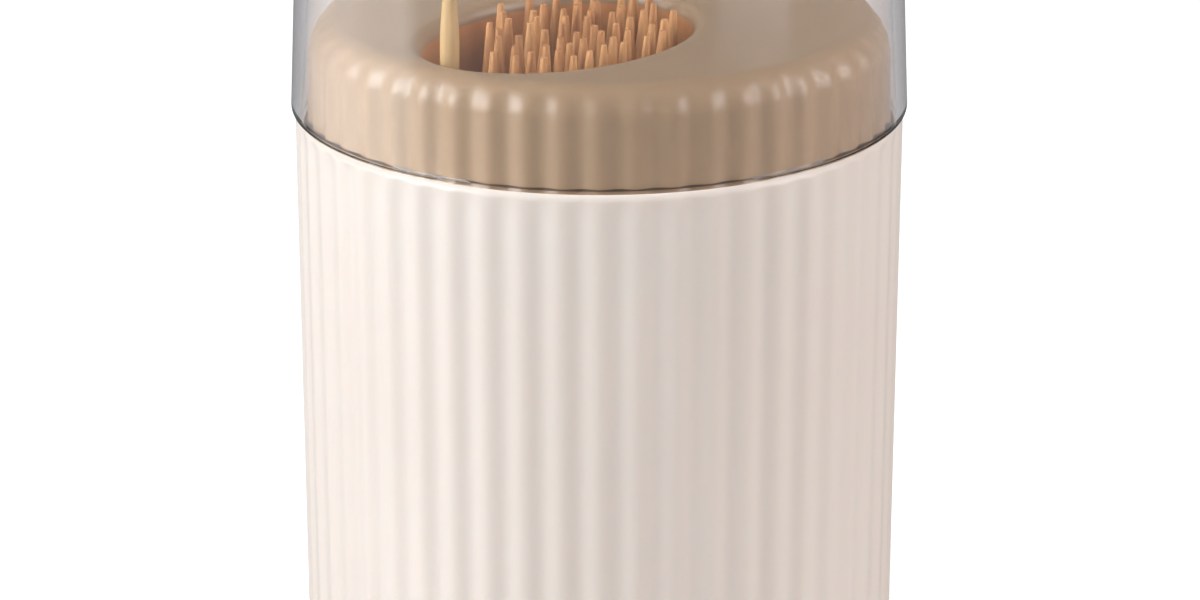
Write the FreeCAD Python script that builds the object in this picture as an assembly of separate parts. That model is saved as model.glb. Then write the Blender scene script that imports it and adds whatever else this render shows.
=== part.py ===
"""Toothpick dispenser with a fluted cup, a clear cover and a press-down inner cup.

The inner cup stands on a return spring.  Pressing its deck lowers the cup and every toothpick in it,
while a fixed pin in the base pushes the one toothpick that stands in the lift channel up above the deck.

Frame: millimetres, +Z up, origin on the axis of the body at the surface that the feet stand on.
-Y is the front.  Each sub-part is written to parts/NAME.step.
"""
import FreeCAD
import Part
import math
import os
import random

Vector = FreeCAD.Vector

# ---------------------------------------------------------------- driving dimensions
# toothpicks
pick_length = 65.0
pick_radius = 1.05
pick_tip_radius = 0.28
pick_taper = 9.5            # length of each tapered end
pick_tip_proud = 0.7        # how far the points stand above the deck
pick_pitch = 2.55           # between feet in a line, and between the lines
pick_scatter = 0.6          # how far a foot strays from its place
pick_lean = 1.1             # how far a point strays from above its foot
pick_fan = 0.2              # lean to the right for each millimetre to the right of the channel
pick_gap = 0.08             # between toothpicks
pick_wall_gap = 0.3         # between a toothpick and the well
pick_foot_gap = 0.02        # leaves room for the tilted foot of a leaning toothpick
free_side = 3.4             # no loose toothpick stands left of this distance to the right of the channel
pick_seed = 11
pick_attempts = 30          # tries to find room for a toothpick near its place
row_names = ("a", "b", "c", "d", "e", "f", "g", "h")

# fluted body
body_radius = 33.0          # over the crests, at the shoulder
body_draft = 0.8            # degrees, the body narrows downwards
body_wall = 1.6             # behind the valleys of the flutes
body_foot_gap = 0.4         # below the rim of the body
body_foot_round = 0.8
shoulder_round = 0.9
flute_count = 50
flute_depth = 0.4
flute_first_angle = 268.65  # degrees, where one crest lies

# inner cup
collar_step = 1.8           # crests of the collar inside the crests of the body
collar_height = 11.1        # deck above the shoulder of the body
collar_flute_depth = 0.5
collar_round = 3.4
collar_below = 1.0          # how far the collar reaches into the mouth at rest
collar_gap = 0.3            # collar to mouth
cup_wall = 1.6
deck_thickness = 1.8
skirt_gap = 0.35            # skirt to body, below the mouth
skirt_length = 20.0         # below the shoulder of the body

# oval well
oval_place_angle = 243.3    # degrees, where its middle lies, seen from the axis
oval_place_inset = 18.3     # from its middle out to the edge of the flat deck
oval_axis_angle = 49.0      # degrees, direction of its long axis
oval_half_length = 16.9
oval_half_width = 12.3
well_wall = 1.5
well_draft = 0.4            # how much smaller the semi-axes are at the floor
well_floor = 1.5
rim_round = 1.5
rim_steps = 5               # bands that make up the rounded rim

# pump action
press_travel = 11.0
press_clearance = 0.5       # cup floor above the base plate when fully pressed
pin_radius = 0.9
pin_hole_gap = 0.3
pin_below_floor = 0.3       # pin end below the well's floor face at rest
pin_seat = 2.0              # how deep the pin is pressed into the base plate
pin_pad_radius = 3.0
pin_pad_height = 0.7
channel_inset = 2.05        # from the front end of the well, along the well
channel_side = 2.1          # from the long axis of the well, across it
channel_sink = 0.3          # how deep the channel reaches into the floor of the well
channel_radius = 2.3
channel_bore_gap = 0.3      # round the toothpick
channel_slot = 2.5          # mouth of the channel, towards the well
clip_length = 4.0
clip_bore_gap = 0.06
clip_slot = 1.9
channel_below_deck = 6.0

# base plate
plate_bottom = 1.5
plate_thickness = 2.5
plate_gap = 0.2             # plate to body
screw_inset = 3.6           # from the bore of the body to the axis of a screw
screw_angles = (60.0, 180.0, 300.0)
screw_radius = 1.25
screw_head_radius = 2.5
screw_head_height = 1.5
screw_length = 9.0
boss_radius = 3.3
boss_height = 11.0
foot_inset = 4.9            # from the rim of the base plate to the middle of a foot
foot_angles = (90.0, 210.0, 330.0)
foot_radius = 3.5
foot_recess = 0.5
foot_recess_gap = 0.1

# guide stem, its sleeve, stop and spring
stem_inset = 9.1            # from the inside of the skirt to the axis of the stem
stem_angle = 31.0           # degrees
stem_radius = 3.0
stem_running_gap = 0.05
stem_socket = 22.0          # how deep the stem sits in the boss of the cup
sleeve_wall = 1.7
sleeve_stop_gap = 0.3       # sleeve to boss when fully pressed
turret_radius = 7.0
turret_wall = 1.5
turret_height = 14.0        # above the base plate
turret_cap = 2.0
stop_radius = 4.6
stop_thickness = 1.0
stop_gap = 0.1
stem_screw_radius = 1.25
stem_screw_head = 2.4
stem_screw_head_height = 1.8
stem_screw_length = 9.0
cup_boss_radius = 6.5
spring_wire = 0.45          # radius
spring_turns = 8
spring_gap = 0.5            # spring to sleeve
spring_end_gap = 0.1

# clear cover
cover_proud = 0.45          # rim beyond the crests of the body
cover_rim_wall = 1.7
cover_wall = 1.5
cover_draft = 2.0           # degrees, the cover narrows upwards
cover_seat_gap = 0.1
cover_rim_round = 0.4
cover_corner = 5.0
cover_crown = 0.8           # rise of the top towards its centre
draw_travel = 4.0           # how far a toothpick can rise under the cover
cover_head_room = 1.3

# shared by all the pieces
cut_over = 1.0              # how far a cut runs past the face that it opens
blank_over = 0.05           # how far a blank stands proud of the surface that it is trimmed to
overlap = 0.5               # how deep a joined form reaches into its neighbour
stem_screw_tip = 0.5        # room past the end of the stem's screw

# ---------------------------------------------------------------- sizes that follow
flute_pitch = 360.0 / flute_count
collar_radius = body_radius - collar_step
plate_top = plate_bottom + plate_thickness
well_floor_top = plate_top + press_clearance + press_travel + well_floor
well_floor_bottom = well_floor_top - well_floor
deck_z = well_floor_top + pick_length - pick_tip_proud
shoulder_z = deck_z - collar_height
deck_under = deck_z - deck_thickness
slope = math.tan(math.radians(body_draft))
mouth_radius = collar_radius + collar_gap
mouth_depth = collar_below + press_travel + collar_gap
collar_bottom = shoulder_z - collar_below
skirt_bottom = shoulder_z - skirt_length
raised_foot = well_floor_top + press_travel
raised_tip = raised_foot + pick_length
cover_inner_top = raised_tip + draw_travel + cover_head_room
cover_top = cover_inner_top + cover_wall
cover_bottom = shoulder_z + cover_seat_gap
cover_radius = body_radius + cover_proud
oval_u = Vector(math.cos(math.radians(oval_axis_angle)), math.sin(math.radians(oval_axis_angle)), 0)
oval_v = Vector(-oval_u.y, oval_u.x, 0)
deck_radius = collar_radius - collar_round
turret_top = plate_top + turret_height
turret_ceiling = turret_top - turret_cap
boss_bottom = turret_top + (deck_z - turret_top) * 0.56
sleeve_top = boss_bottom - press_travel - sleeve_stop_gap
sleeve_bore = stem_radius + stem_running_gap
sleeve_radius = sleeve_bore + sleeve_wall
stem_bottom = turret_ceiling - stop_gap


def crest_radius(z):
    """Radius over the crests of the body at height z."""
    return body_radius - (shoulder_z - z) * slope


def inner_radius(z):
    """Radius of the body's inner wall at height z, below the mouth."""
    return crest_radius(z) - flute_depth - body_wall


def polar(radius, degrees, z=0.0):
    angle = math.radians(degrees)
    return Vector(radius * math.cos(angle), radius * math.sin(angle), z)


skirt_radius = inner_radius(skirt_bottom - press_travel) - skirt_gap
hollow_radius = skirt_radius - cup_wall
plate_radius = inner_radius(plate_top) - plate_gap
screw_circle = inner_radius(plate_top) - screw_inset
foot_circle = plate_radius - foot_inset
oval_centre = polar(deck_radius - oval_place_inset, oval_place_angle)
channel_place = oval_centre - oval_u * (oval_half_length - channel_inset) + oval_v * channel_side
stem_place = polar(hollow_radius - stem_inset, stem_angle)


# ---------------------------------------------------------------- shape helpers
def cylinder(place, z_low, z_high, radius):
    return Part.makeCylinder(radius, z_high - z_low, Vector(place.x, place.y, z_low))


def rounded_profile(corners):
    """A closed face in the XZ plane.

    Each corner is (radius, height) or (radius, height, rounding); a rounded corner becomes a tangent arc.
    """
    points = [Vector(c[0], 0, c[1]) for c in corners]
    roundings = [c[2] if len(c) > 2 else 0.0 for c in corners]
    count = len(points)
    starts, ends, edges = [], [], []
    for i in range(count):
        here, before, after = points[i], points[i - 1], points[(i + 1) % count]
        to_before = (before - here).normalize()
        to_after = (after - here).normalize()
        half_turn = to_before.getAngle(to_after) / 2
        if roundings[i] > 0:
            run = roundings[i] / math.tan(half_turn)
            reach = roundings[i] / math.sin(half_turn) - roundings[i]
            inward = (to_before + to_after).normalize()
            first, last = here + to_before * run, here + to_after * run
            edges.append(Part.Arc(first, here + inward * reach, last).toShape())
        else:
            first = last = here
        starts.append(first)
        ends.append(last)
    for i in range(count):
        first, last = ends[i], starts[(i + 1) % count]
        if first.distanceToPoint(last) > 1e-6:
            edges.append(Part.LineSegment(first, last).toShape())
    return Part.Face(Part.Wire(Part.__sortEdges__(edges)))


def revolved(corners):
    return rounded_profile(corners).revolve(Vector(0, 0, 0), Vector(0, 0, 1), 360)


def fluted_wire(radius, depth, z):
    """A closed ring of tangent arcs: a crest arc outwards and a valley arc inwards for each flute."""
    middle = radius - depth / 2
    quarter = flute_pitch / 4
    edges = []
    for i in range(flute_count):
        crest = flute_first_angle + i * flute_pitch
        valley = crest + flute_pitch / 2
        for top, top_radius in ((crest, radius), (valley, radius - depth)):
            arc = Part.Arc(polar(middle, top - quarter, z), polar(top_radius, top, z),
                           polar(middle, top + quarter, z))
            edges.append(arc.toShape())
    return Part.Wire(edges)


def fluted_solid(z_low, radius_low, z_high, radius_high, depth):
    return Part.makeLoft([fluted_wire(radius_low, depth, z_low),
                          fluted_wire(radius_high, depth, z_high)], True, True)


def oval_wire(z, grow):
    """The outline of the well at height z, with both semi-axes grown by the same amount."""
    centre = oval_centre + Vector(0, 0, z)
    long_way = oval_u * (oval_half_length + grow)
    short_way = oval_v * (oval_half_width + grow)
    if short_way.Length > long_way.Length:
        long_way, short_way = short_way, -long_way
    return Part.Wire([Part.Ellipse(centre + long_way, centre + short_way, centre).toShape()])


def oval_solid(levels):
    """A solid with the well's outline, grown by the given amount at each height of levels."""
    return Part.makeLoft([oval_wire(z, grow) for z, grow in levels], True, True)


def inside_oval(place, inset):
    """Whether a place lies inside the well's outline at the floor, at least inset from it."""
    offset = place - oval_centre
    reach = oval_half_length - well_draft - inset
    width = oval_half_width - well_draft - inset
    return (offset.dot(oval_u) / reach) ** 2 + (offset.dot(oval_v) / width) ** 2 < 1.0


# ---------------------------------------------------------------- body
def make_body_shell():
    """Fluted cup with a rounded shoulder, a stepped bore and three screw bosses."""
    outside = fluted_solid(0, crest_radius(0), shoulder_z + blank_over, crest_radius(shoulder_z + blank_over),
                           flute_depth)
    foot_radius_here = crest_radius(body_foot_gap) + blank_over
    envelope = revolved([(0, body_foot_gap), (foot_radius_here, body_foot_gap, body_foot_round),
                         (body_radius + blank_over, shoulder_z, shoulder_round), (0, shoulder_z)])
    shell = outside.common(envelope)
    foot_bore = inner_radius(plate_top) + blank_over
    mouth_step = shoulder_z - mouth_depth
    bore = revolved([(0, -cut_over), (foot_bore, -cut_over), (foot_bore, plate_top),
                     (inner_radius(plate_top), plate_top),
                     (inner_radius(mouth_step), mouth_step), (mouth_radius, mouth_step),
                     (mouth_radius, shoulder_z + cut_over), (0, shoulder_z + cut_over)])
    shell = shell.cut(bore)
    boss_top = plate_top + boss_height
    for angle in screw_angles:
        shell = shell.fuse(make_screw_boss(angle, boss_top))
    for angle in screw_angles:
        place = polar(screw_circle, angle)
        shell = shell.cut(cylinder(place, plate_top - cut_over, boss_top - cut_over, screw_radius))
    return shell.removeSplitter()


def make_screw_boss(angle, top):
    """A round boss with a web that joins it to the wall."""
    place = polar(screw_circle, angle)
    boss = cylinder(place, plate_top, top, boss_radius)
    web_width = boss_radius * 1.2
    web_reach = inner_radius(plate_top) + body_wall / 2
    web = Part.makeBox(web_reach - screw_circle, web_width, top - plate_top,
                       Vector(screw_circle, -web_width / 2, plate_top))
    web.rotate(Vector(0, 0, 0), Vector(0, 0, 1), angle)
    limit = revolved([(0, plate_top), (web_reach, plate_top),
                      (inner_radius(top) + body_wall / 2, top), (0, top)])
    return boss.fuse(web).common(limit)


# ---------------------------------------------------------------- base plate
def make_base_plate():
    """Disc with the turret and guide sleeve, the seat of the pin, and places for screws and feet."""
    plate = revolved([(0, plate_bottom), (plate_radius, plate_bottom, 0.4),
                      (plate_radius, plate_top), (0, plate_top)])
    turret = cylinder(stem_place, plate_bottom, turret_top, turret_radius)
    sleeve = cylinder(stem_place, turret_top - overlap, sleeve_top, sleeve_radius)
    pad = cylinder(channel_place, plate_bottom - pin_pad_height, plate_top, pin_pad_radius)
    plate = plate.fuse([turret, sleeve, pad])
    plate = plate.cut(cylinder(stem_place, plate_bottom - cut_over, turret_ceiling,
                               turret_radius - turret_wall))
    plate = plate.cut(cylinder(stem_place, turret_ceiling - cut_over, sleeve_top + cut_over, sleeve_bore))
    plate = plate.cut(cylinder(channel_place, plate_top - pin_seat, plate_top + cut_over, pin_radius))
    for angle in screw_angles:
        place = polar(screw_circle, angle)
        plate = plate.cut(cylinder(place, plate_bottom - cut_over, plate_top + cut_over, screw_radius))
        plate = plate.cut(cylinder(place, plate_bottom - cut_over,
                                   plate_bottom + screw_head_height, screw_head_radius))
    for angle in foot_angles:
        place = polar(foot_circle, angle)
        plate = plate.cut(cylinder(place, plate_bottom - cut_over, plate_bottom + foot_recess,
                                   foot_radius + foot_recess_gap))
    return plate.removeSplitter()


def make_base_screws():
    """Three pan-head screws, flush in the underside of the base plate."""
    screws = []
    for angle in screw_angles:
        place = polar(screw_circle, angle)
        screws.append(make_screw(place, plate_bottom, screw_head_radius, screw_head_height,
                                 screw_radius, screw_length))
    return Part.makeCompound(screws)


def make_screw(place, z, head_radius, head_height, shank_radius, shank_length):
    """A screw that points up: a head with a cross recess and a plain shank with a pointed end."""
    recess = head_height * 0.5
    slot_width, slot_reach = head_radius * 0.28, head_radius * 0.62
    top = head_height + shank_length
    body = revolved([(0, 0), (head_radius, 0, head_height * 0.3), (head_radius, head_height),
                     (shank_radius, head_height), (shank_radius, top - shank_radius), (0, top)])
    for length, width in ((slot_reach, slot_width), (slot_width, slot_reach)):
        body = body.cut(Part.makeBox(2 * length, 2 * width, recess, Vector(-length, -width, 0)))
    body.translate(Vector(place.x, place.y, z))
    return body


def make_rubber_feet():
    """Three discs in the recesses of the base plate."""
    top = plate_bottom + foot_recess
    foot = revolved([(0, 0), (foot_radius, 0, 0.4), (foot_radius, top), (0, top)])
    feet = []
    for angle in foot_angles:
        copy = foot.copy()
        copy.translate(polar(foot_circle, angle))
        feet.append(copy)
    return Part.makeCompound(feet)


def make_lift_pin():
    """The fixed pin below the lift channel, with a rounded end just below the floor of the well."""
    top = well_floor_top - pin_below_floor
    pin = revolved([(0, plate_top - pin_seat), (pin_radius, plate_top - pin_seat),
                    (pin_radius, top, pin_radius * 0.4), (0, top)])
    pin.translate(channel_place)
    return pin


# ---------------------------------------------------------------- inner cup
def make_inner_cup():
    """Fluted collar, deck, skirt, oval well, lift channel and the boss for the guide stem."""
    collar = fluted_solid(collar_bottom, collar_radius, deck_z + blank_over, collar_radius,
                          collar_flute_depth)
    collar = collar.common(revolved([(0, collar_bottom), (collar_radius + blank_over, collar_bottom),
                                     (collar_radius + blank_over, deck_z, collar_round), (0, deck_z)]))
    skirt = revolved([(0, skirt_bottom), (skirt_radius, skirt_bottom),
                      (skirt_radius, collar_bottom + overlap), (0, collar_bottom + overlap)])
    hollow_round = max(collar_round - cup_wall, 0.5)
    hollow = revolved([(0, skirt_bottom - cut_over), (hollow_radius, skirt_bottom - cut_over),
                       (hollow_radius, deck_under, hollow_round), (0, deck_under)])
    cup = collar.fuse(skirt).cut(hollow)
    well_outside = oval_solid([(well_floor_bottom, well_wall - well_draft),
                               (deck_under + overlap, well_wall)])
    boss = cylinder(stem_place, boss_bottom, deck_under + overlap, cup_boss_radius)
    cup = cup.fuse([well_outside, boss])
    cup = cup.cut(oval_solid([(well_floor_top, -well_draft)] + rounded_rim()))
    cup = cup.cut(cylinder(stem_place, boss_bottom - cut_over, boss_bottom + stem_socket, stem_radius))
    cup = cup.fuse(make_lift_channel(well_outside))
    cup = cup.cut(cylinder(channel_place, well_floor_bottom - cut_over, well_floor_top + cut_over,
                           pin_radius + pin_hole_gap))
    return cup.removeSplitter()


def rounded_rim():
    """Heights and growths of the well's outline up a rounded rim, and on past the deck."""
    levels = []
    for i in range(rim_steps + 1):
        turn = math.radians(i * 75.0 / rim_steps)
        levels.append((deck_z - rim_round * (1 - math.sin(turn)), rim_round * (1 - math.cos(turn))))
    last_z, last_grow = levels[-1]
    above = deck_z + blank_over
    levels.append((above, last_grow + (above - last_z) * math.tan(math.radians(80))))
    return levels


def make_lift_channel(well_outside):
    """A slotted tube on the wall of the well that holds one toothpick over the lift pin."""
    top = deck_z - channel_below_deck
    clip_bottom = top - clip_length
    tube = cylinder(channel_place, well_floor_top - channel_sink, top, channel_radius)
    tube = tube.cut(cylinder(channel_place, 0, clip_bottom, pick_radius + channel_bore_gap))
    tube = tube.cut(cylinder(channel_place, clip_bottom - cut_over, top + cut_over,
                             pick_radius + clip_bore_gap))
    to_middle = oval_centre - channel_place
    inward = math.degrees(math.atan2(to_middle.y, to_middle.x))
    for width, low, high in ((channel_slot, well_floor_top, clip_bottom),
                             (clip_slot, clip_bottom - cut_over, top + cut_over)):
        slot = Part.makeBox(channel_radius * 2, width, high - low, Vector(0, -width / 2, low))
        slot.rotate(Vector(0, 0, 0), Vector(0, 0, 1), inward)
        slot.translate(channel_place)
        tube = tube.cut(slot)
    return tube.common(well_outside)


# ---------------------------------------------------------------- guide stem, stop and spring
def make_guide_stem():
    """The round stem that is pressed into the boss of the cup and slides in the sleeve."""
    top = boss_bottom + stem_socket
    stem = revolved([(0, stem_bottom), (stem_radius, stem_bottom, 0.3), (stem_radius, top, 0.5), (0, top)])
    screw_hole = Part.makeCylinder(stem_screw_radius, stem_screw_length + stem_screw_tip,
                                   Vector(0, 0, stem_bottom))
    stem = stem.cut(screw_hole)
    stem.translate(stem_place)
    return stem


def make_stop_washer():
    low = stem_bottom - stop_thickness
    return cylinder(stem_place, low, stem_bottom, stop_radius).cut(
        cylinder(stem_place, low - cut_over, stem_bottom + cut_over, stem_screw_radius))


def make_stem_screw():
    head_bottom = stem_bottom - stop_thickness - stem_screw_head_height
    return make_screw(stem_place, head_bottom, stem_screw_head, stem_screw_head_height,
                      stem_screw_radius, stem_screw_length + stop_thickness)


def make_return_spring():
    """A coil round the sleeve, between the turret and the boss of the cup."""
    coil_radius = sleeve_radius + spring_gap + spring_wire
    low = turret_top + spring_end_gap + spring_wire
    high = boss_bottom - spring_end_gap - spring_wire
    path = Part.makeHelix((high - low) / spring_turns, high - low, coil_radius)
    section = Part.Wire(Part.makeCircle(spring_wire, Vector(coil_radius, 0, 0), Vector(0, 1, 0)))
    coil = Part.Wire(path).makePipeShell([section], True, True)
    coil.translate(stem_place + Vector(0, 0, low))
    return coil


# ---------------------------------------------------------------- clear cover
def make_clear_cover():
    """A thin drawn cup, upside down, that stands on the shoulder of the body round the collar."""
    lean = math.tan(math.radians(cover_draft))
    rise = cover_inner_top - cover_bottom
    top_radius = cover_radius - rise * lean
    rim_inner = cover_radius - cover_rim_wall
    outer = [(cover_radius, cover_bottom, cover_rim_round),
             (top_radius, cover_top - cover_crown, cover_corner)]
    inner = [(top_radius - cover_wall, cover_inner_top - cover_crown, cover_corner - cover_wall),
             (rim_inner, cover_bottom)]
    return revolved(outer + [(0, cover_top), (0, cover_inner_top)] + inner)


# ---------------------------------------------------------------- toothpicks
def make_pick():
    """One toothpick on the Z axis with its foot at the origin, tapered to a blunt end both ways."""
    return revolved([(0, 0), (pick_tip_radius, 0), (pick_radius, pick_taper),
                     (pick_radius, pick_length - pick_taper), (pick_tip_radius, pick_length),
                     (0, pick_length)])


def leaning_pick(foot, tip_offset):
    """A toothpick that stands at foot and leans so that its point is off to one side."""
    pick = make_pick()
    direction = Vector(tip_offset.x, tip_offset.y, pick_length)
    pick.Placement = FreeCAD.Placement(foot, FreeCAD.Rotation(Vector(0, 0, 1), direction))
    return pick


def least_gap(one, other):
    """Least distance between the axes of two toothpicks; each is a foot and a point, seen from above."""
    start = other[0] - one[0]
    change = other[1] - one[1] - start
    share = 0.0
    if change.Length > 1e-9:
        share = min(max(-start.dot(change) / change.dot(change), 0.0), 1.0)
    return (start + change * share).Length


def has_room(pick, others):
    """Whether a toothpick stands clear of the well, the lift channel, its free side and the others."""
    if least_gap(pick, (channel_place, channel_place)) < channel_radius + pick_radius + pick_gap:
        return False
    for end in pick:
        if end.x < channel_place.x + free_side or not inside_oval(end, pick_radius + pick_wall_gap):
            return False
    return all(least_gap(pick, other) > 2 * pick_radius + pick_gap for other in others)


def stray(chance, reach):
    return Vector(chance.uniform(-reach, reach), chance.uniform(-reach, reach), 0)


def make_pick_rows():
    """The toothpicks that stand in the well, grouped in rows from front to back."""
    chance = random.Random(pick_seed)
    inset = pick_radius + pick_wall_gap + well_draft
    depth = math.hypot(oval_half_length * oval_u.y, oval_half_width * oval_v.y) - inset
    line_count = int(2 * depth / pick_pitch) + 1
    placed = []
    rows = {name: [] for name in row_names}
    for i in range(line_count):
        row = rows[row_names[i * len(row_names) // line_count]]
        for k in range(int(2 * collar_radius / pick_pitch)):
            right = (k + (i % 2) / 2) * pick_pitch
            nominal = Vector(channel_place.x + right, oval_centre.y - depth + i * pick_pitch, 0)
            fan = Vector(right * pick_fan, 0, 0)
            for attempt in range(pick_attempts):
                foot = nominal + stray(chance, pick_scatter)
                pick = (foot, foot + fan + stray(chance, pick_lean))
                if has_room(pick, placed):
                    placed.append(pick)
                    row.append(leaning_pick(foot + Vector(0, 0, well_floor_top + pick_foot_gap),
                                            pick[1] - foot))
                    break
    return {"toothpicks_row_" + name: Part.makeCompound(row) for name, row in rows.items()}


def make_raised_toothpick():
    """The toothpick that the pin has pushed up, held by the clip of the lift channel."""
    return leaning_pick(channel_place + Vector(0, 0, raised_foot), Vector(0, 0, 0))


# ---------------------------------------------------------------- files
parts = {
    "body_shell": make_body_shell(),
    "base_plate": make_base_plate(),
    "base_screws": make_base_screws(),
    "rubber_feet": make_rubber_feet(),
    "lift_pin": make_lift_pin(),
    "inner_cup": make_inner_cup(),
    "guide_stem": make_guide_stem(),
    "stop_washer": make_stop_washer(),
    "stem_screw": make_stem_screw(),
    "return_spring": make_return_spring(),
    "clear_cover": make_clear_cover(),
    "raised_toothpick": make_raised_toothpick(),
}
parts.update(make_pick_rows())

os.makedirs("parts", exist_ok=True)
for name, shape in parts.items():
    shape.exportStep("parts/" + name + ".step")
    box = shape.BoundBox
    print("%-20s solids %2d valid %s volume %8.1f z %.2f to %.2f"
          % (name, len(shape.Solids), shape.isValid(), shape.Volume, box.ZMin, box.ZMax))
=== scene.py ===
"""Toothpick dispenser: the looks of every piece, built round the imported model.

Lengths are millimetres in the shape functions and become metres when a mesh is made.  Each moulded or
turned piece is a surface worked out on a grid: rows run along its profile and columns run round it.
"""
import math

import bpy
import numpy as np
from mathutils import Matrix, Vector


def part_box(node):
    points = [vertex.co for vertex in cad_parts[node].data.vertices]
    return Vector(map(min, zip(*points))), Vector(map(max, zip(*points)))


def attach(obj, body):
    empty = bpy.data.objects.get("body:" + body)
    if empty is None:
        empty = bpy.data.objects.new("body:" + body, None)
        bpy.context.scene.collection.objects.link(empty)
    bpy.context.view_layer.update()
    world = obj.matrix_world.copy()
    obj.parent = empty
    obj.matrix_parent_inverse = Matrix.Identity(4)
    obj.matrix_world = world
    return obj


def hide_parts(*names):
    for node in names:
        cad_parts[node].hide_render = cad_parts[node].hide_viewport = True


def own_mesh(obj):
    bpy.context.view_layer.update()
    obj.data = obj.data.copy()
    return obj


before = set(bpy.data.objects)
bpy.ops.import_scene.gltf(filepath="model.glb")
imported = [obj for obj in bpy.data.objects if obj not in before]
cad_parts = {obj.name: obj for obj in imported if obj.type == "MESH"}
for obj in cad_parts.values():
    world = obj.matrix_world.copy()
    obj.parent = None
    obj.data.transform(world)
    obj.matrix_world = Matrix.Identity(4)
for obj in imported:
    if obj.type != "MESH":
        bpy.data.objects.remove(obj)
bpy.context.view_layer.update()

MM = 0.001
TURN = 2 * math.pi


def top_of(node):
    """The height of a node's highest point."""
    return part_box(node)[1].z / MM


def bottom_of(node):
    """The height of a node's lowest point."""
    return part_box(node)[0].z / MM


def middle_of(node):
    """The middle of a node, seen from above."""
    low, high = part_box(node)
    return np.array([low.x + high.x, low.y + high.y]) / 2 / MM


# ---------------------------------------------------------------- sizes, in millimetres and radians
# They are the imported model's own, but the flutes are a little shallower, lie 1.35 degrees further round and
# fade softly into the shoulders.
body_radius = 33.0
body_slope = math.tan(math.radians(0.8))
body_wall = 1.68
body_foot_round = 0.8
shoulder_round = 0.9
flute_count = 50
flute_depth = 0.32
flute_end = 1.8
flute_stop = 0.1
flute_first = math.radians(270.0)
mouth_radius = 31.5
mouth_edge = 0.25
mouth_clearance = 0.3
press_travel = 11.0
boss_radius = 3.3
boss_height = 11.0
boss_reach = 1.2
boss_roof = 1.0
screw_circle = 26.48
screw_degrees = (60.0, 180.0, 300.0)
screw_radius = 1.25

collar_radius = 31.2
collar_round = 3.4
collar_flute_depth = 0.4
collar_flute_fade = np.radians([22.0, 74.0])
collar_below = 1.0
collar_ledge = 0.8
seam_shade = 0.25
cup_wall = 1.6
deck_thickness = 1.8
skirt_length = 20.0
skirt_gap = 0.35

oval_turn = math.radians(243.3)
oval_off_axis = 9.5
oval_centre = oval_off_axis * np.array([math.cos(oval_turn), math.sin(oval_turn)])
oval_axis = math.radians(49.0)
oval_half_length = 16.9
oval_half_width = 12.3
well_wall = 1.5
well_draft = 0.4
well_floor = 1.5
well_edge = 0.3
rim_round = 1.5
rim_start_degrees = 84.0

channel_place = middle_of("lift_pin")
channel_radius = 2.3
channel_bore = 1.35
channel_slot = 2.5
clip_bore = 1.11
clip_slot = 1.9
clip_length = 4.0
clip_chamfer = 0.25
channel_chamfer = 0.2
channel_sink = 0.2
channel_below_deck = 6.0
pin_hole_radius = 1.2

stem_place = middle_of("guide_stem")
stem_radius = 3.0
cup_boss_radius = 6.5
stem_socket = 22.0
cup_boss_sink = 0.5
spring_wire = 0.45
spring_turns = 8
spring_gap = 0.1
coil_radius = 5.7

pick_radius = 1.05
pick_tip_radius = 0.28
pick_taper = 9.5
pick_full_from = 13.0
pick_dip = 0.06
pick_stations = np.array([0, 0.08, 0.3, 0.6, 0.85, 1.0, 1.15])
pick_fullness = np.array([0, 0.12, 0.34, 0.64, 0.87, 0.97, 1.0])
pick_end_slice = 0.1
pick_seed = 4

cover_overhang = 0.45
cover_rim_wall = 1.7
cover_wall = 1.5
cover_rim_round = 0.4
cover_rim_inner_round = 0.3
cover_corner = 5.0
cover_crown = 0.8
crown_flat = 10.0
crown_round = 400.0
cover_slope = math.tan(math.radians(2.0))

deck_z = top_of("inner_cup")
shoulder_z = top_of("body_shell")
body_bottom = bottom_of("body_shell")
plate_top = 4.0
floor_bottom = bottom_of("inner_cup")
floor_top = floor_bottom + well_floor
spring_foot, spring_top = bottom_of("return_spring"), top_of("return_spring")
boss_bottom = spring_top + spring_gap
mouth_depth = collar_below + press_travel + mouth_clearance
cover_bottom = bottom_of("clear_cover")
cover_top = top_of("clear_cover")
cover_radius = body_radius + cover_overhang

# ---------------------------------------------------------------- fineness of the grids
columns_per_flute = 14
shoulder_steps, wall_steps = 9, 24
collar_steps, rim_steps, deck_steps, well_steps = 26, 11, 9, 12
screw_boss_columns, stem_boss_columns, channel_columns = 48, 64, 49
coil_steps, wire_columns = 48, 12
cover_steps, cover_columns = 12, 256
pick_middle_rows, pick_columns = 5, 14
pole_radius, cover_pole_radius = 0.01, 0.02
crisp_degrees, pick_crisp_degrees = 32.0, 50.0
weld_digits = 4


# ---------------------------------------------------------------- mesh helpers
def grid_quads(rows, columns, close_rows=False):
    """Quads between neighbouring points of a grid, numbered row by row and closed round its columns."""
    row = np.arange(rows if close_rows else rows - 1)[:, None]
    column = np.arange(columns)[None, :]
    row_on, column_on = (row + 1) % rows, (column + 1) % columns
    corners = [row * columns + column, row * columns + column_on,
               row_on * columns + column_on, row_on * columns + column]
    return np.stack(corners, -1).reshape(-1, 4)


def closed_ring(points):
    """A surface that is closed both ways, like a ring: points has shape (rows, columns, 3)."""
    rows, columns = points.shape[:2]
    return points.reshape(-1, 3), grid_quads(rows, columns, close_rows=True).tolist()


def capped_tube(points):
    """A surface closed round its columns, with a flat face over its first and last row."""
    rows, columns = points.shape[:2]
    faces = grid_quads(rows, columns).tolist()
    faces.append(list(range(columns))[::-1])
    faces.append(list(range((rows - 1) * columns, rows * columns)))
    return points.reshape(-1, 3), faces


def join(*surfaces):
    """Several surfaces, each (points, faces), as one."""
    points, faces, first = [], [], 0
    for some_points, some_faces in surfaces:
        points.append(some_points)
        faces.extend([[corner + first for corner in face] for face in some_faces])
        first += len(some_points)
    return np.concatenate(points), faces


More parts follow.
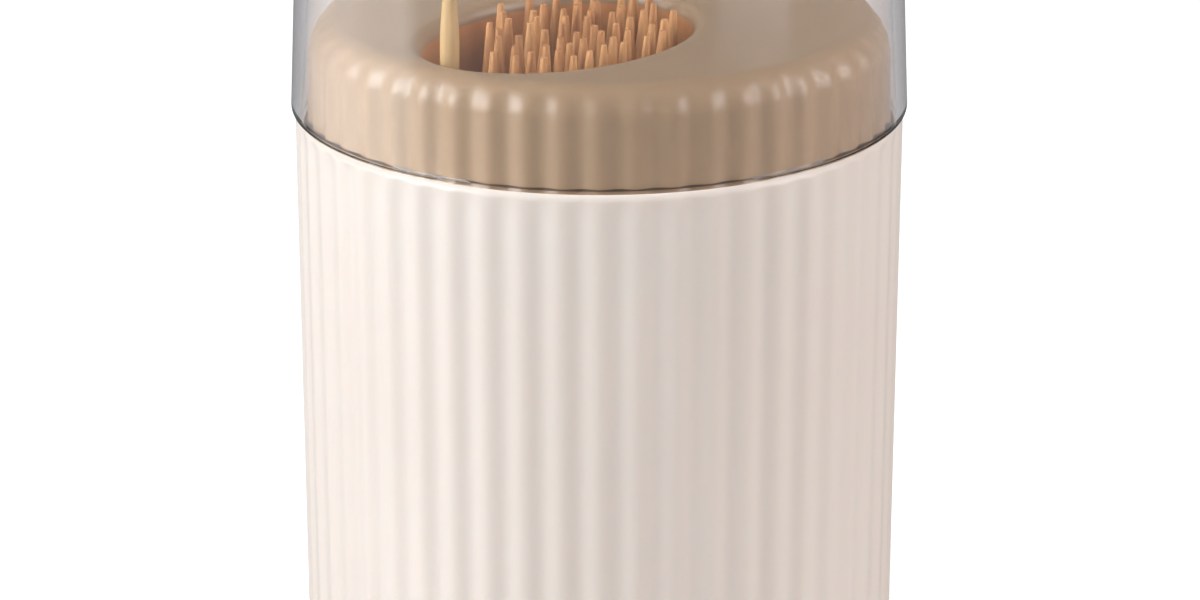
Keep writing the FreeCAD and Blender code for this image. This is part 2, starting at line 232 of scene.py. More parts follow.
def make_piece(name, surface, body, material, slot, *nodes, sharp=crisp_degrees):
    """One object from a surface in millimetres; edges that turn by more than sharp degrees stay crisp."""
    points, faces = surface
    mesh = bpy.data.meshes.new(name)
    mesh.from_pydata((points * MM).tolist(), [], faces)
    mesh.polygons.foreach_set("use_smooth", np.ones(len(faces), bool))
    mesh.set_sharp_from_angle(angle=math.radians(sharp))
    mesh.materials.append(material)
    mesh.validate()
    piece = bpy.data.objects.new(name, mesh)
    bpy.context.scene.collection.objects.link(piece)
    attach(piece, body)
    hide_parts(*nodes)
    return piece


def rounded_line(corners, steps):
    """Points of a closed profile given by its corners (radius, height) or (radius, height, rounding).

    A rounded corner becomes an arc of that radius that touches both its runs.  Its centre lies on the
    corner's bisector, at rounding / sin(half the corner's angle), and the spokes to its points turn evenly
    from the one that meets the first run to the one that meets the second.
    """
    places = [np.array(c[:2], float) for c in corners]
    line = []
    for i, corner in enumerate(corners):
        if len(corner) < 3:
            line.append(places[i][None])
            continue
        back = places[i - 1] - places[i]
        on = places[(i + 1) % len(corners)] - places[i]
        back, on = back / np.linalg.norm(back), on / np.linalg.norm(on)
        half = math.acos(np.clip(back @ on, -1, 1)) / 2
        middle = back + on
        centre = places[i] + middle / np.linalg.norm(middle) * corner[2] / math.sin(half)
        first = places[i] + back * corner[2] / math.tan(half) - centre
        last = places[i] + on * corner[2] / math.tan(half) - centre
        sweep = math.pi - 2 * half
        share = np.linspace(0, 1, steps)[:, None]
        line.append(centre + (np.sin((1 - share) * sweep) * first + np.sin(share * sweep) * last)
                    / math.sin(sweep))
    return np.concatenate(line)


def between(start, end, count):
    """Points along a straight run without its two ends, closer together towards both.

    The share of the way is half less half the cosine of an angle that grows evenly from 0 to half a turn.
    """
    share = 0.5 - 0.5 * np.cos(np.linspace(0, math.pi, count + 2)[1:-1, None])
    return np.asarray(start) * (1 - share) + np.asarray(end) * share


def around(radius, height, angle, centre=(0.0, 0.0)):
    """Points round a vertical axis: centre + radius * (cosine, sine) of the angle, at the height."""
    return np.stack([centre[0] + radius * np.cos(angle), centre[1] + radius * np.sin(angle),
                     height + 0 * angle], -1)


def turned(profile, columns, centre=(0.0, 0.0)):
    """A profile of (radius, height) points carried once round a vertical axis at centre."""
    return around(profile[:, :1], profile[:, 1:], np.arange(columns) * TURN / columns, centre)


def spokes(angle):
    """Unit vectors at these angles, seen from above."""
    return np.stack([np.cos(angle), np.sin(angle)], -1)


def level(outline, z):
    """One row of points at height z over an outline seen from above."""
    return np.concatenate([outline, np.full((len(outline), 1), z)], -1)[None]


def smooth_step(value, start, end):
    """0 up to start, 1 from end on and between them share^2 * (3 - 2 * share) of the way."""
    share = np.clip((value - start) / (end - start), 0, 1)
    return share ** 2 * (3 - 2 * share)


def flute_wave(angle):
    """0 on the crest of a flute and 1 in its valley, a cosine round the axis."""
    return 0.5 - 0.5 * np.cos(flute_count * (angle - flute_first))


def round_angles():
    """The angles of a fluted piece's columns, with the same number of them on every flute."""
    columns = flute_count * columns_per_flute
    return np.arange(columns) * TURN / columns


# ---------------------------------------------------------------- materials
def new_material(name):
    """A material with its nodes, its links and its shader."""
    material = bpy.data.materials.new(name)
    material.use_nodes = True
    nodes, links = material.node_tree.nodes, material.node_tree.links
    return material, nodes, links, nodes["Principled BSDF"]


def add(nodes, kind, **values):
    """A node with some of its inputs or settings set by name."""
    node = nodes.new(kind)
    for name, value in values.items():
        if name in node.inputs:
            node.inputs[name].default_value = value
        else:
            setattr(node, name, value)
    return node


def object_noise(nodes, links, stretch, scale, detail, roughness=0.55):
    """Noise on Object coordinates, stretched by a factor along each axis."""
    place = add(nodes, "ShaderNodeTexCoord")
    mapping = add(nodes, "ShaderNodeMapping")
    mapping.inputs["Scale"].default_value = stretch
    noise = add(nodes, "ShaderNodeTexNoise", Scale=scale, Detail=detail, Roughness=roughness)
    links.new(place.outputs["Object"], mapping.inputs["Vector"])
    links.new(mapping.outputs["Vector"], noise.inputs["Vector"])
    return noise


def colour_steps(nodes, links, source, steps):
    """A colour ramp: steps is a list of (place, colour)."""
    ramp = nodes.new("ShaderNodeValToRGB")
    elements = ramp.color_ramp.elements
    while len(elements) < len(steps):
        elements.new(0.5)
    for element, (place, colour) in zip(elements, steps):
        element.position = place
        element.color = (*colour, 1.0)
    links.new(source, ramp.inputs["Fac"])
    return ramp


def vary_roughness(nodes, links, shader, source, low, high):
    """Roughness that goes from low to high as the source goes from 0 to 1."""
    gloss = nodes.new("ShaderNodeMapRange")
    gloss.inputs["To Min"].default_value = low
    gloss.inputs["To Max"].default_value = high
    links.new(source, gloss.inputs["Value"])
    links.new(gloss.outputs["Result"], shader.inputs["Roughness"])


def add_bump(nodes, links, shader, source, strength, distance):
    """Relief that is distance metres high where the source is 1."""
    bump = add(nodes, "ShaderNodeBump", Strength=strength, Distance=distance)
    links.new(source, bump.inputs["Height"])
    links.new(bump.outputs["Normal"], shader.inputs["Normal"])


def moulded_plastic(name, light, dark, roughness, subsurface, depth):
    """Satin moulded plastic: a faint cloudiness in its colour and in its gloss, lit a little from within."""
    material, nodes, links, shader = new_material(name)
    cloud = object_noise(nodes, links, stretch=(1.0, 1.0, 0.6), scale=45.0, detail=3.0)
    tint = colour_steps(nodes, links, cloud.outputs["Fac"], [(0.3, dark), (0.7, light)])
    links.new(tint.outputs["Color"], shader.inputs["Base Color"])
    shader.inputs["Subsurface Weight"].default_value = subsurface
    shader.inputs["Subsurface Radius"].default_value = (1.0, 0.62, 0.42)
    shader.inputs["Subsurface Scale"].default_value = depth
    shader.inputs["IOR"].default_value = 1.49
    skin = object_noise(nodes, links, stretch=(1.0, 1.0, 1.0), scale=120.0, detail=1.0)
    drift = 0.01
    vary_roughness(nodes, links, shader, skin.outputs["Fac"], low=roughness - drift, high=roughness + drift)
    return material


def clear_plastic():
    """Clear moulded plastic that bends and mirrors light and lets the lamps through.

    Seen aslant, light passes along more of the wall, and the Layer Weight darkens what comes through there, a
    painted shade for the wall's grey edges; the very edge, which gathers light from all round, is a little
    paler again, a painted highlight.
    """
    material, nodes, links, shader = new_material("clear_cover_plastic")
    aslant = add(nodes, "ShaderNodeLayerWeight", Blend=0.5)
    # painted shade and highlight: the tint of what passes through darkens aslant and pales again at the very
    # edge
    tint = colour_steps(nodes, links, aslant.outputs["Facing"], [
        (0.30, (0.97, 0.97, 0.975)), (0.55, (0.92, 0.885, 0.88)),
        (0.80, (0.84, 0.79, 0.81)), (0.95, (0.93, 0.89, 0.94))])
    links.new(tint.outputs["Color"], shader.inputs["Base Color"])
    shader.inputs["Roughness"].default_value = 0.02
    shader.inputs["IOR"].default_value = 1.50
    shader.inputs["Transmission Weight"].default_value = 1.0
    passing = add(nodes, "ShaderNodeBsdfTransparent", Color=(0.94, 0.94, 0.945, 1.0))
    path = nodes.new("ShaderNodeLightPath")
    mix = nodes.new("ShaderNodeMixShader")
    links.new(path.outputs["Is Shadow Ray"], mix.inputs["Fac"])
    links.new(shader.outputs["BSDF"], mix.inputs[1])
    links.new(passing.outputs["BSDF"], mix.inputs[2])
    links.new(mix.outputs["Shader"], nodes["Material Output"].inputs["Surface"])
    return material


def split_bamboo(name, light, middle, dark):
    """Bare bamboo: fine fibres along the length, half and half with a broad drift from pick to pick."""
    material, nodes, links, shader = new_material(name)
    fibre = object_noise(nodes, links, stretch=(1.0, 1.0, 0.03), scale=2600.0, detail=2.0, roughness=0.6)
    drift = object_noise(nodes, links, stretch=(1.0, 1.0, 0.05), scale=190.0, detail=2.0)
    blend = add(nodes, "ShaderNodeMix")
    blend.inputs["Factor"].default_value = 0.5
    links.new(fibre.outputs["Fac"], blend.inputs["A"])
    links.new(drift.outputs["Fac"], blend.inputs["B"])
    tint = colour_steps(nodes, links, blend.outputs["Result"],
                        [(0.33, dark), (0.5, middle), (0.66, light)])
    links.new(tint.outputs["Color"], shader.inputs["Base Color"])
    shader.inputs["Roughness"].default_value = 0.55
    shader.inputs["Subsurface Weight"].default_value = 0.12
    shader.inputs["Subsurface Radius"].default_value = (1.0, 0.5, 0.25)
    shader.inputs["Subsurface Scale"].default_value = 0.0006
    add_bump(nodes, links, shader, fibre.outputs["Fac"], strength=0.20, distance=0.00004)
    return material


def bright_steel():
    """Bright zinc-plated steel with a fine streaked polish."""
    material, nodes, links, shader = new_material("zinc_plated_steel")
    streak = object_noise(nodes, links, stretch=(1.0, 1.0, 0.08), scale=1400.0, detail=3.0)
    tint = colour_steps(nodes, links, streak.outputs["Fac"],
                        [(0.3, (0.50, 0.51, 0.53)), (0.7, (0.68, 0.69, 0.71))])
    links.new(tint.outputs["Color"], shader.inputs["Base Color"])
    shader.inputs["Metallic"].default_value = 1.0
    vary_roughness(nodes, links, shader, streak.outputs["Fac"], low=0.22, high=0.38)
    add_bump(nodes, links, shader, streak.outputs["Fac"], strength=0.15, distance=0.00002)
    return material


def silicone():
    """Cloudy grey silicone for the feet."""
    material, nodes, links, shader = new_material("foot_silicone")
    dust = object_noise(nodes, links, stretch=(1.0, 1.0, 1.0), scale=700.0, detail=5.0)
    tint = colour_steps(nodes, links, dust.outputs["Fac"],
                        [(0.3, (0.42, 0.41, 0.39)), (0.7, (0.56, 0.55, 0.53))])
    links.new(tint.outputs["Color"], shader.inputs["Base Color"])
    shader.inputs["Roughness"].default_value = 0.6
    add_bump(nodes, links, shader, dust.outputs["Fac"], strength=0.3, distance=0.00005)
    return material


cream = moulded_plastic("cream_body_plastic", light=(0.830, 0.735, 0.665), dark=(0.800, 0.702, 0.630),
                        roughness=0.36, subsurface=0.25, depth=0.0022)
khaki = moulded_plastic("khaki_cup_plastic", light=(0.342, 0.222, 0.126), dark=(0.330, 0.213, 0.120),
                        roughness=0.35, subsurface=0.20, depth=0.0018)
white = moulded_plastic("white_stem_plastic", light=(0.80, 0.80, 0.78), dark=(0.77, 0.77, 0.75),
                        roughness=0.40, subsurface=0.10, depth=0.0010)
# painted bounce light: a warmer, brighter khaki for the inside of the well, standing for light coloured by
# the bamboo
painted_bounce_khaki = moulded_plastic("painted_bounce_on_khaki", light=(0.520, 0.235, 0.085), dark=(0.490, 0.218, 0.077),
                             roughness=0.40, subsurface=0.20, depth=0.0018)
# painted shade: a dark brown khaki for the foot of the collar, standing for the shadow in the gap it stands
# in
painted_gap_shade_khaki = moulded_plastic("painted_gap_shade_on_khaki", light=(0.080, 0.045, 0.026), dark=(0.070, 0.039, 0.022),
                             roughness=0.50, subsurface=0.0, depth=0.0018)
clear = clear_plastic()
bamboo = split_bamboo("toothpick_bamboo", light=(0.650, 0.345, 0.136), middle=(0.530, 0.250, 0.086),
                      dark=(0.360, 0.135, 0.040))
pale_bamboo = split_bamboo("raised_toothpick_bamboo", light=(0.560, 0.360, 0.160),
                           middle=(0.500, 0.315, 0.132), dark=(0.390, 0.225, 0.085))
steel = bright_steel()
rubber = silicone()


# ---------------------------------------------------------------- body shell
def crest_radius(z):
    """The body's radius on the crests: the shoulder's, less the slope times the way down from it."""
    return body_radius - (shoulder_z - z) * body_slope


def fluted_body():
    """Rows up the outside, down the mouth and the bore and back along the foot, closed into one skin.

    Outside, radius = envelope that rolls in at the shoulder and at the foot - depth * wave, with a depth
    that fades towards both.  Inside, the radius is the same all round.
    """
    angle = round_angles()
    inner = [(crest_radius(z) - flute_depth - body_wall, z) for z in (plate_top, shoulder_z - mouth_depth)]
    foot_radius = crest_radius(body_bottom)
    outside = rounded_line([(inner[0][0], body_bottom), (foot_radius, body_bottom, body_foot_round),
                            (body_radius, shoulder_z, shoulder_round), (mouth_radius, shoulder_z)],
                           shoulder_steps)
    foot, shoulder = outside[:shoulder_steps + 1], outside[shoulder_steps + 1:]
    outside = np.concatenate([foot, between(foot[-1], shoulder[0], wall_steps), shoulder])
    inside = np.array([(mouth_radius, shoulder_z - mouth_edge), (mouth_radius, shoulder_z - mouth_depth),
                       inner[1], inner[0]])
    height = outside[:, 1:]
    depth = flute_depth * (smooth_step(height, body_bottom, body_bottom + flute_end)
                           - smooth_step(height, shoulder_z - flute_end, shoulder_z - flute_stop))
    skin = around(outside[:, :1] - depth * flute_wave(angle), height, angle)
    return closed_ring(np.concatenate([skin, turned(inside, len(angle))]))


def screw_boss(degrees):
    """A pillar with a blind hole up its middle: a circle with its outer half moved out into the wall."""
    out = spokes(math.radians(degrees))
    ring = spokes(np.arange(screw_boss_columns) * TURN / screw_boss_columns)
    pillar = boss_radius * ring + np.where(ring @ out > 0, boss_reach, 0.0)[:, None] * out
    top = plate_top + boss_height
    rows = [(screw_radius * ring, plate_top), (pillar, plate_top), (pillar, top), (pole_radius * ring, top),
            (pole_radius * ring, top - boss_roof), (screw_radius * ring, top - boss_roof)]
    return closed_ring(np.concatenate([level(screw_circle * out + outline, z) for outline, z in rows]))


make_piece("fluted_body", join(fluted_body(), *[screw_boss(a) for a in screw_degrees]), "base", cream,
           "cream_plastic", "body_shell")


# ---------------------------------------------------------------- inner cup
def oval_reach(away, grow=0.0):
    """How far points lie from the oval's middle, as a share of the way to the oval grown all round.

    For parts (along, across) of the way it is sqrt((along / half length)^2 + (across / half width)^2).
    """
    axis = np.array([math.cos(oval_axis), math.sin(oval_axis)])
    along, across = away @ axis, away @ np.array([-axis[1], axis[0]])
    return np.hypot(along / (oval_half_length + grow), across / (oval_half_width + grow))


def oval_outline(angle, grow):
    """Where rays from the oval's middle to the points of the collar cross the grown oval: ray / reach."""
    ray = collar_radius * spokes(angle) - oval_centre
    share = 1 / oval_reach(ray, grow)
    return oval_centre + ray * share[:, None]


def inner_cup_skin():
    """One skin with rows from the pin hole under the well, up outside it, down and up the skirt, over the
    fluted collar and the deck, down inside the well and back to the pin hole.

    On the collar, radius = round that rolls into the deck - depth * wave, with a depth that fades up the
    round.  Across the deck and the floors, points run straight from one outline to the next.
    """
    angle = round_angles()
    ring = spokes(angle)
    skirt_bottom = shoulder_z - skirt_length
    skirt_radius = crest_radius(skirt_bottom - press_travel) - flute_depth - body_wall - skirt_gap
    hollow = skirt_radius - cup_wall
    deck_under = deck_z - deck_thickness
    collar_bottom = shoulder_z - collar_below

    def oval(z, grow):
        return level(oval_outline(angle, grow), z)

    def hole(z):
        spot = oval_outline(angle, -well_draft) - channel_place
        spot = spot / np.linalg.norm(spot, axis=1, keepdims=True)
        return level(channel_place + spot * pin_hole_radius, z)

    outside = np.concatenate([oval(floor_bottom, well_wall - well_draft), oval(deck_under, well_wall)])
    skirt = np.concatenate([level(ring * r, z) for r, z in (
        (hollow, deck_under), (hollow, skirt_bottom), (skirt_radius, skirt_bottom),
        (skirt_radius, collar_bottom), (mouth_radius - collar_ledge, collar_bottom))])

    turn = np.radians(np.linspace(0, 90, collar_steps))[1:, None]
    # the row at shoulder_z + seam_shade is where the band of painted gap shade on the collar's foot ends
    side_z = np.array([collar_bottom, shoulder_z + seam_shade, deck_z - collar_round])[:, None]
    radius = np.concatenate([collar_radius + 0 * side_z, collar_radius - collar_round * (1 - np.cos(turn))])
    height = np.concatenate([side_z, deck_z - collar_round * (1 - np.sin(turn))])
    fade = np.concatenate([1 + 0 * side_z, 1 - smooth_step(turn, *collar_flute_fade)])
    collar = around(radius - collar_flute_depth * fade * flute_wave(angle), height, angle)

    rim_turn = np.radians(np.linspace(rim_start_degrees, 0, rim_steps))
    rim = [oval(deck_z - rim_round * (1 - math.sin(t)), rim_round * (1 - math.cos(t))) for t in rim_turn]
    edge, lip = collar[-1], rim[0][0]
    share = np.linspace(0, 1, deck_steps)[1:-1, None, None]
    deck = edge * (1 - share) + lip * share
    well_z = np.linspace(deck_z - rim_round, floor_top, well_steps)[1:]
    well_grow = np.linspace(0, -well_draft, well_steps)[1:]
    well = np.concatenate([oval(z, grow) for z, grow in zip(well_z, well_grow)])
    return closed_ring(np.concatenate([hole(floor_bottom), outside, skirt, collar, deck, *rim, well,
                                       hole(floor_top)]))


def lift_channel():
    """A slotted tube along the well's wall, with a narrower clip at its top: a closed section of radius and
    height carried round from one side of the slot to the other.

    At each row the slot's sides are parallel, so its half angle is the arc sine of half width / radius.
    """
    top, low = deck_z - channel_below_deck, floor_top - channel_sink
    step = top - clip_length
    rows = np.array([(channel_bore, low, channel_slot), (channel_bore, step, channel_slot),
                     (clip_bore, step, clip_slot), (clip_bore, top - clip_chamfer, clip_slot),
                     (clip_bore + clip_chamfer, top, clip_slot),
                     (channel_radius - channel_chamfer, top, clip_slot),
                     (channel_radius, top - channel_chamfer, clip_slot), (channel_radius, step, clip_slot),
                     (channel_radius, step, channel_slot), (channel_radius, low, channel_slot)])
    radius, height = rows[:, :1], rows[:, 1:2]
    facing = math.atan2(*(oval_centre - channel_place)[::-1])
    half_slot = np.arcsin(rows[:, 2:] / 2 / radius)
    share = np.linspace(0, 1, channel_columns)
    angle = facing + half_slot + (TURN - 2 * half_slot) * share
    return capped_tube(around(radius, height, angle, channel_place).transpose(1, 0, 2))


def stem_boss():
    """The tube under the deck that the guide stem is pressed into: a section turned round the stem's axis."""
    top = deck_z - deck_thickness + cup_boss_sink
    socket_top = boss_bottom + stem_socket
    profile = np.array([(pole_radius, socket_top), (stem_radius, socket_top), (stem_radius, boss_bottom),
                        (cup_boss_radius, boss_bottom), (cup_boss_radius, top), (pole_radius, top)])
    return closed_ring(turned(profile, stem_boss_columns, stem_place))


def paint_cup_light_and_shade(cup):
    """Two parts of the moulding get painted light and shade.

    The inside of the well, from below its rounded rim down, is painted warmer and brighter, a painted bounce
    light for the light that the bamboo has coloured, and the foot of the collar is painted dark, a painted
    shade for the gap that it stands in.
    """
    mesh = cup.data
    mesh.materials.append(painted_bounce_khaki)
    mesh.materials.append(painted_gap_shade_khaki)
    middles = np.zeros(len(mesh.polygons) * 3)
    mesh.polygons.foreach_get("center", middles)
    middles = middles.reshape(-1, 3) / MM
    height = middles[:, 2]
    inside = oval_reach(middles[:, :2] - oval_centre) < 1 + well_edge / oval_half_length
    # faces inside the well, below the rounded rim, get the painted bounce light
    well = inside & (height < deck_z - rim_round)
    outer = np.hypot(middles[:, 0], middles[:, 1]) > collar_radius - 2 * collar_flute_depth
    # faces of the collar's foot get the painted gap shade
    seam = outer & (height > shoulder_z - collar_below) & (height < shoulder_z + seam_shade)
    mesh.polygons.foreach_set("material_index", np.where(well, 1, np.where(seam, 2, 0)))


paint_cup_light_and_shade(make_piece("inner_cup_moulding", join(inner_cup_skin(), lift_channel(), stem_boss()), "cup", khaki,
                    "khaki_plastic", "inner_cup"))


# ---------------------------------------------------------------- return spring
def coil_spring():
    """A round wire carried up a helix: its section stands across the wire's own direction everywhere.

    The wire's middle is stem + coil radius * (cosine, sine) of the turn, and it rises in step with the turn.
    """
    low, high = spring_foot + spring_wire, spring_top - spring_wire
    turn = np.linspace(0, spring_turns * TURN, spring_turns * coil_steps + 1)
    outward = np.stack([np.cos(turn), np.sin(turn), 0 * turn], -1)
    middle = coil_radius * outward + [0.0, 0.0, low]
    middle[:, :2] += stem_place
    middle[:, 2] += (high - low) * turn / turn[-1]
    along = np.stack([-coil_radius * np.sin(turn), coil_radius * np.cos(turn),
                      0 * turn + (high - low) / turn[-1]], -1)
    across = np.cross(outward, along / np.linalg.norm(along, axis=1, keepdims=True))
    angle = (np.arange(wire_columns) * TURN / wire_columns)[:, None]
    section = np.cos(angle) * outward[:, None] + np.sin(angle) * across[:, None]
    return capped_tube(middle[:, None] + spring_wire * section)


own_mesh(make_piece("return_coil", coil_spring(), "base", steel, "steel", "return_spring"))


# ---------------------------------------------------------------- clear cover
def cover_shell():
    """The cover's section turned round its axis: a rounded rim, a tapered wall and a slightly crowned top."""
    inner_top = cover_top - cover_wall
    top_radius = cover_radius - (inner_top - cover_bottom) * cover_slope
    profile = rounded_line([
        (cover_radius - cover_rim_wall, cover_bottom, cover_rim_inner_round),
        (cover_radius, cover_bottom, cover_rim_round),
        (top_radius, cover_top - cover_crown, cover_corner), (crown_flat, cover_top, crown_round),
        (cover_pole_radius, cover_top), (cover_pole_radius, inner_top), (crown_flat, inner_top, crown_round),
        (top_radius - cover_wall, inner_top - cover_crown, cover_corner - cover_wall)], cover_steps)
    return closed_ring(turned(profile, cover_columns))


make_piece("clear_cover_shell", cover_shell(), "cover", clear, "clear_plastic", "clear_cover")


# ---------------------------------------------------------------- toothpicks
def separate_solids(node):
    """The points of each solid of a node.

    Points at one place share a label, and each label falls to the least one on any of its triangles, over
    and over until none changes.  Then each solid has a label of its own.
    """
    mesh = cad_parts[node].data
    points = np.zeros(len(mesh.vertices) * 3)
    mesh.vertices.foreach_get("co", points)
    points = points.reshape(-1, 3) / MM
    corners = np.zeros(len(mesh.loops), int)
    mesh.loops.foreach_get("vertex_index", corners)
    triangles = corners.reshape(-1, 3)
    place = np.unique(np.round(points, weld_digits), axis=0, return_inverse=True)[1].ravel()[triangles]
    label = np.arange(place.max() + 1)
    while True:
        least = label[place].min(1)
        new = label.copy()
        np.minimum.at(new, place.ravel(), np.repeat(least, 3))
        if (new == label).all():
            break
        label = new
    owner = np.zeros(len(points), int)
    owner[triangles.ravel()] = label[place].ravel()
    return [points[owner == one] for one in np.unique(owner)]


def pick_ends(points):
    """The middle of a toothpick's foot and of its point."""
    z = points[:, 2]
    return points[z < z.min() + pick_end_slice].mean(0), points[z > z.max() - pick_end_slice].mean(0)


def one_pick(foot, tip, chance):
    """A toothpick: its radius is full along the middle and falls to a blunt end both ways.

    Round the section the radius is the full one * (1 - dip * squared cosine of twice the angle), which
    takes a little off four sides.  The taper, the blunt end and the section's turns are left to chance.
    """
    length = np.linalg.norm(tip - foot)
    taper = pick_taper * chance.uniform(0.85, 1.0)
    blunt = pick_tip_radius * chance.uniform(1.0, 1.35)
    ends = blunt + (pick_radius - blunt) * pick_fullness
    along = np.concatenate([pick_stations * taper,
                            np.linspace(pick_full_from, length - pick_full_from, pick_middle_rows),
                            length - pick_stations[::-1] * taper])
    radius = np.concatenate([ends, np.full(pick_middle_rows, pick_radius), ends[::-1]])
    angle = np.arange(pick_columns) * TURN / pick_columns + chance.uniform(0, TURN)
    squareness = 1 - pick_dip * np.cos(2 * angle + chance.uniform(0, TURN)) ** 2
    axis = (tip - foot) / length
    side = np.cross(axis, [0.0, 1.0, 0.0])
    side /= np.linalg.norm(side)
    other = np.cross(axis, side)
    section = np.cos(angle)[:, None] * side + np.sin(angle)[:, None] * other
    points = foot + along[:, None, None] * axis + (radius[:, None] * squareness)[..., None] * section
    return capped_tube(points[:, ::-1])


def dress_toothpicks():
    """Every toothpick is rebuilt where its own solid stands; those of one row are one piece."""
    chance = np.random.default_rng(pick_seed)
    for node in sorted(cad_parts):
        if not (node.startswith("toothpicks_row") or node == "raised_toothpick"):
            continue
        picks = [one_pick(*pick_ends(points), chance) for points in separate_solids(node)]
        body, wood = ("pick", pale_bamboo) if node == "raised_toothpick" else ("cup", bamboo)
        make_piece(node.replace("toothpick", "bamboo_pick"), join(*picks), body, wood, "wood", node,
                   sharp=pick_crisp_degrees)


dress_toothpicks()


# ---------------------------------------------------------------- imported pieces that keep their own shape
def dress_packed_pieces():
    """Each gets its finish in its material slot."""
    finishes = {"base_plate": cream, "base_screws": steel, "rubber_feet": rubber, "lift_pin": steel,
                "guide_stem": white, "stop_washer": steel, "stem_screw": steel}
    for node, finish in finishes.items():
        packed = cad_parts[node]
        packed.data.materials.clear()
        packed.data.materials.append(finish)


dress_packed_pieces()


# ---------------------------------------------------------------- floor, light and camera: metres and watts
floor_reach = 6.0
floor_tone = (0.80, 0.80, 0.80)
floor_tone_mirrored = (0.30, 0.30, 0.30)
floor_glow = 0.62
glow_fades_over_bounces = 3.0
window_glow = 1.4
window_right_end = (-0.24, -0.17)
window_back_end = (0.08, 0.30)
window_front_end = (-0.09, -0.19)
sky_strength = 0.265
sky_colour = (1.0, 0.985, 0.97)
lamp_width, lamp_height = 0.8, 0.9
lamp_aim = (0.0, 0.0, 0.06)
camera_tilt = math.radians(18.54)
camera_distance = 0.8
camera_aim_height = 0.04767
focal_length, sensor_width = 218.9, 36.0
frame_width, frame_shift = 1200, 0.8
far_clip = 50.0


def pale_floor():
    """A matt white floor that shows itself a little brighter to the eye, also through clear plastic, so that
    it ends in white; light that has already been scattered sees it as it is.

    Mirrored in clear plastic or metal it is dim, except at the left, where the window is.  Its glow is
    straight * floor glow + mirrored * window * window glow, where straight and mirrored say how the floor is
    seen, and window is 1 inside the window's patch and fades out at three of its ends.
    """
    material, nodes, links, shader = new_material("pale_floor")
    shader.inputs["Roughness"].default_value = 0.9
    shader.inputs["Specular IOR Level"].default_value = 0.1
    path = nodes.new("ShaderNodeLightPath")

    def maths(operation, *values):
        node = add(nodes, "ShaderNodeMath", operation=operation)
        for socket, value in zip(node.inputs, values):
            if isinstance(value, float):
                socket.default_value = value
            else:
                links.new(value, socket)
        return node.outputs["Value"]

    def fade(source, start, end):
        """1 up to start, 0 from end on and a smooth passage between them; start may be the greater one."""
        ramp = nodes.new("ShaderNodeMapRange")
        ramp.interpolation_type = "SMOOTHSTEP"
        for name, value in (("From Min", start), ("From Max", end), ("To Min", 1.0), ("To Max", 0.0)):
            ramp.inputs[name].default_value = value
        links.new(source, ramp.inputs["Value"])
        return ramp.outputs["Result"]

    unscattered = maths("LESS_THAN", path.outputs["Diffuse Depth"], 0.5)
    mirrored = maths("MULTIPLY", unscattered, path.outputs["Is Glossy Ray"])
    tone = colour_steps(nodes, links, mirrored, [(0.0, floor_tone), (1.0, floor_tone_mirrored)])
    links.new(tone.outputs["Color"], shader.inputs["Base Color"])
    unmirrored = fade(path.outputs["Glossy Depth"], 0.0, glow_fades_over_bounces)
    through = maths("MULTIPLY", path.outputs["Is Transmission Ray"], unmirrored)
    straight = maths("MULTIPLY", unscattered, maths("MAXIMUM", path.outputs["Is Camera Ray"], through))
    place = add(nodes, "ShaderNodeTexCoord")
    parts = add(nodes, "ShaderNodeSeparateXYZ")
    links.new(place.outputs["Object"], parts.inputs["Vector"])
    patch = maths("MULTIPLY", fade(parts.outputs["X"], *window_right_end),
                  fade(parts.outputs["Y"], *window_back_end))
    window = maths("MULTIPLY", patch, fade(parts.outputs["Y"], *window_front_end))
    glow = maths("ADD", maths("MULTIPLY", straight, floor_glow),
                 maths("MULTIPLY", mirrored, maths("MULTIPLY", window, window_glow)))
    shader.inputs["Emission Color"].default_value = (1.0, 1.0, 1.0, 1.0)
    links.new(glow, shader.inputs["Emission Strength"])
    mesh = bpy.data.meshes.new("floor")
    corners = [(x * floor_reach, y * floor_reach, 0) for x, y in ((-1, -1), (1, -1), (1, 1), (-1, 1))]
    mesh.from_pydata(corners, [], [(0, 1, 2, 3)])
    mesh.materials.append(material)
    floor = bpy.data.objects.new("floor", mesh)
    bpy.context.scene.collection.objects.link(floor)


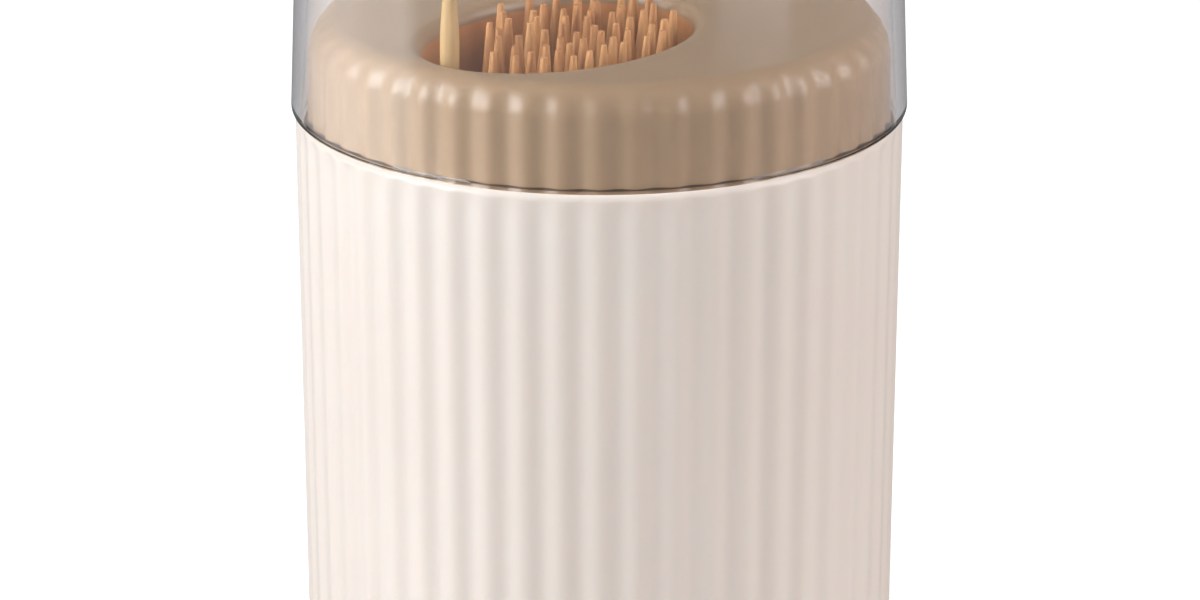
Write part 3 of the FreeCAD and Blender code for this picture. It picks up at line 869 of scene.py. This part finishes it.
def plain_sky():
    """Even light from all round, which the eye itself sees as white."""
    world = bpy.data.worlds.new("plain_sky")
    bpy.context.scene.world = world
    world.use_nodes = True
    nodes, links = world.node_tree.nodes, world.node_tree.links
    even = nodes["Background"]
    even.inputs["Color"].default_value = (*sky_colour, 1.0)
    even.inputs["Strength"].default_value = sky_strength
    seen = nodes.new("ShaderNodeBackground")
    seen.inputs["Color"].default_value = (1.0, 1.0, 1.0, 1.0)
    path = nodes.new("ShaderNodeLightPath")
    mix = nodes.new("ShaderNodeMixShader")
    links.new(path.outputs["Is Camera Ray"], mix.inputs["Fac"])
    links.new(even.outputs["Background"], mix.inputs[1])
    links.new(seen.outputs["Background"], mix.inputs[2])
    links.new(mix.outputs["Shader"], nodes["World Output"].inputs["Surface"])


def soft_lamp(name, place, power, colour):
    """A rectangular lamp at a place, turned to face the middle of the object."""
    lamp = bpy.data.lights.new(name, "AREA")
    lamp.shape = "RECTANGLE"
    lamp.size, lamp.size_y = lamp_width, lamp_height
    lamp.energy = power
    lamp.color = colour
    holder = bpy.data.objects.new(name, lamp)
    holder.location = place
    away = np.array(place) - np.array(lamp_aim)
    holder.rotation_euler = (math.acos(away[2] / np.linalg.norm(away)), 0,
                             math.atan2(away[1], away[0]) + math.pi / 2)
    bpy.context.scene.collection.objects.link(holder)


def product_camera():
    """Looks down at the front from a little above, close in on the middle of the object."""
    camera = bpy.data.cameras.new("product_camera")
    camera.sensor_width = sensor_width
    camera.lens = focal_length
    camera.shift_x = frame_shift / frame_width
    camera.clip_end = far_clip
    holder = bpy.data.objects.new("product_camera", camera)
    holder.location = (0, -camera_distance * math.cos(camera_tilt),
                       camera_aim_height + camera_distance * math.sin(camera_tilt))
    holder.rotation_euler = (math.pi / 2 - camera_tilt, 0, 0)
    bpy.context.scene.collection.objects.link(holder)
    bpy.context.scene.camera = holder


pale_floor()
plain_sky()
soft_lamp("left_window", place=(-1.16, -0.50, 0.54), power=18.6, colour=(0.915, 0.96, 1.0))
soft_lamp("right_fill", place=(1.22, -0.29, 0.54), power=10.9, colour=(1.0, 0.975, 0.985))
product_camera()
bpy.context.scene.view_settings.view_transform = "Standard"
